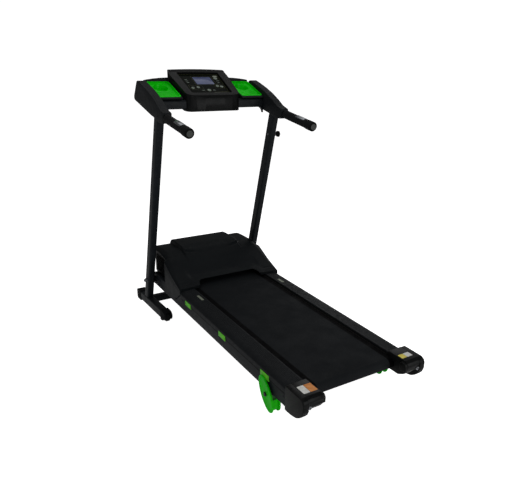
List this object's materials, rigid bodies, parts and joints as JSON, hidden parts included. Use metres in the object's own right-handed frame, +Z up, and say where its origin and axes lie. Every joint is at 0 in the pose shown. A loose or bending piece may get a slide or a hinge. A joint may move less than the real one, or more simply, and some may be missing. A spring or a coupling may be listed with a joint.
{
  "type": "folding motorised treadmill",
  "caption": "Home treadmill with a lifting running deck hinged between two leaning uprights, oval levelling feet, and a console with display, cup trays and pulse handles.",
  "frame": {"origin": "on the floor, below the centre of the bounding box", "axes": "+X the runner's right, +Y forward toward the console, +Z up"},
  "size_m": [0.7055, 1.5717, 1.242],
  "materials": {
    "paint": "satin black powder coat",
    "black_plastic": "fine grained black",
    "gloss_black": "semi gloss black",
    "panel": "satin printed overlay",
    "rubber": "moulded",
    "steel": "zinc plated",
    "chrome": "polished",
    "foam": "foam grip",
    "green": "bright green moulded",
    "lime": "bright green moulded",
    "board": "laminated fibreboard",
    "belt": "fine ribbed running surface",
    "motor": "satin",
    "screen": "backlit display, off-white segments",
    "keys": "soft touch"
  },
  "bodies": {
    "base": {"base_frame": "paint", "upright_left": "paint", "upright_right": "paint", "front_floor_cap_left": "rubber", "front_floor_cap_right": "rubber", "rear_floor_cap_left": "rubber", "rear_floor_cap_right": "rubber", "pivot_bolt_left": "steel", "pivot_bolt_right": "steel", "side_cover_left": "black_plastic", "side_cover_right": "black_plastic", "cross_bar": "paint", "shelf_left": "black_plastic", "shelf_right": "black_plastic", "tray_left": "green", "tray_right": "green", "console_body": "gloss_black", "control_panel": "panel", "display": "screen", "handle_left": "foam", "handle_right": "foam", "pulse_plate_left": "chrome", "pulse_plate_right": "chrome"},
    "deck": {"deck_frame": "paint", "running_board": "board", "walking_belt": "belt", "foot_rail_left": "black_plastic", "foot_rail_right": "black_plastic", "rail_clip_1_left": "lime", "rail_clip_1_right": "lime", "rail_clip_2_left": "lime", "rail_clip_2_right": "lime", "rail_clip_3_left": "lime", "rail_clip_3_right": "lime", "drive_motor": "motor", "drive_belt": "rubber", "motor_controller": "black_plastic", "motor_hood": "gloss_black", "motor_pan": "black_plastic", "rear_cap_left": "gloss_black", "rear_cap_right": "gloss_black", "adjust_bolt_left": "steel", "adjust_bolt_right": "steel", "foot_bolt_left": "steel", "foot_bolt_right": "steel"},
    "rear_roller": {"rear_roller": "steel"},
    "front_roller": {"front_roller": "steel"},
    "motor_rotor": {"motor_rotor": "steel"},
    "rear_foot_left": {"rear_foot_left": "green"},
    "rear_foot_right": {"rear_foot_right": "green"},
    "transport_wheel_left": {"transport_wheel_left": "rubber"},
    "transport_wheel_right": {"transport_wheel_right": "rubber"},
    "lock_pin": {"lock_pin": "gloss_black"},
    "button_start": {"button_start": "keys"},
    "button_stop": {"button_stop": "keys"},
    "button_speed_up": {"button_speed_up": "keys"},
    "button_speed_down": {"button_speed_down": "keys"},
    "button_mode": {"button_mode": "keys"},
    "button_program": {"button_program": "keys"}
  },
  "joints": [
    {"name": "deck_fold", "type": "hinge", "parent": "base", "child": "deck", "pos_m": [0, 0.607, 0.16], "axis": [-1, 0, 0], "range_deg": [0, 74.5]},
    {"name": "front_roller_spin", "type": "hinge", "parent": "deck", "child": "front_roller", "pos_m": [0, 0.39798, 0.17746], "axis": [1, 0, 0], "continuous": true},
    {"name": "rear_roller_spin", "type": "hinge", "parent": "deck", "child": "rear_roller", "pos_m": [0, -0.69188, 0.12759], "axis": [1, 0, 0], "continuous": true},
    {"name": "motor_spin", "type": "hinge", "parent": "deck", "child": "motor_rotor", "pos_m": [0, 0.53178, 0.22863], "axis": [1, 0, 0], "continuous": true},
    {"name": "foot_tilt_left", "type": "hinge", "parent": "deck", "child": "rear_foot_left", "pos_m": [-0.264, -0.546, 0.06478], "axis": [1, 0, 0], "range_deg": [-25, 60]},
    {"name": "foot_tilt_right", "type": "hinge", "parent": "deck", "child": "rear_foot_right", "pos_m": [0.264, -0.546, 0.06478], "axis": [1, 0, 0], "range_deg": [-25, 60]},
    {"name": "wheel_spin_left", "type": "hinge", "parent": "base", "child": "transport_wheel_left", "pos_m": [-0.3065, 0.39, 0.0233], "axis": [1, 0, 0], "continuous": true},
    {"name": "wheel_spin_right", "type": "hinge", "parent": "base", "child": "transport_wheel_right", "pos_m": [0.3065, 0.39, 0.0233], "axis": [1, 0, 0], "continuous": true},
    {"name": "lock_pin_slide", "type": "slide", "parent": "base", "child": "lock_pin", "axis": [-1, 0, 0], "range_m": [0, 0.007]},
    {"name": "button_start_press", "type": "slide", "parent": "base", "child": "button_start", "axis": [0, 0.4886, -0.8725], "range_m": [0, 0.0015], "stiffness_N_per_m": 800, "springref_m": -0.0005},
    {"name": "button_stop_press", "type": "slide", "parent": "base", "child": "button_stop", "axis": [0, 0.4886, -0.8725], "range_m": [0, 0.0015], "stiffness_N_per_m": 800, "springref_m": -0.0005},
    {"name": "button_speed_up_press", "type": "slide", "parent": "base", "child": "button_speed_up", "axis": [0, 0.4886, -0.8725], "range_m": [0, 0.0015], "stiffness_N_per_m": 800, "springref_m": -0.0005},
    {"name": "button_speed_down_press", "type": "slide", "parent": "base", "child": "button_speed_down", "axis": [0, 0.4886, -0.8725], "range_m": [0, 0.0015], "stiffness_N_per_m": 800, "springref_m": -0.0005},
    {"name": "button_mode_press", "type": "slide", "parent": "base", "child": "button_mode", "axis": [0, 0.4886, -0.8725], "range_m": [0, 0.0015], "stiffness_N_per_m": 800, "springref_m": -0.0005},
    {"name": "button_program_press", "type": "slide", "parent": "base", "child": "button_program", "axis": [0, 0.4886, -0.8725], "range_m": [0, 0.0015], "stiffness_N_per_m": 800, "springref_m": -0.0005}
  ],
  "couplings": [
    {"joint": "rear_roller_spin", "follows": "front_roller_spin", "ratio": 1},
    {"joint": "motor_spin", "follows": "front_roller_spin", "ratio": 2.4}
  ]
}
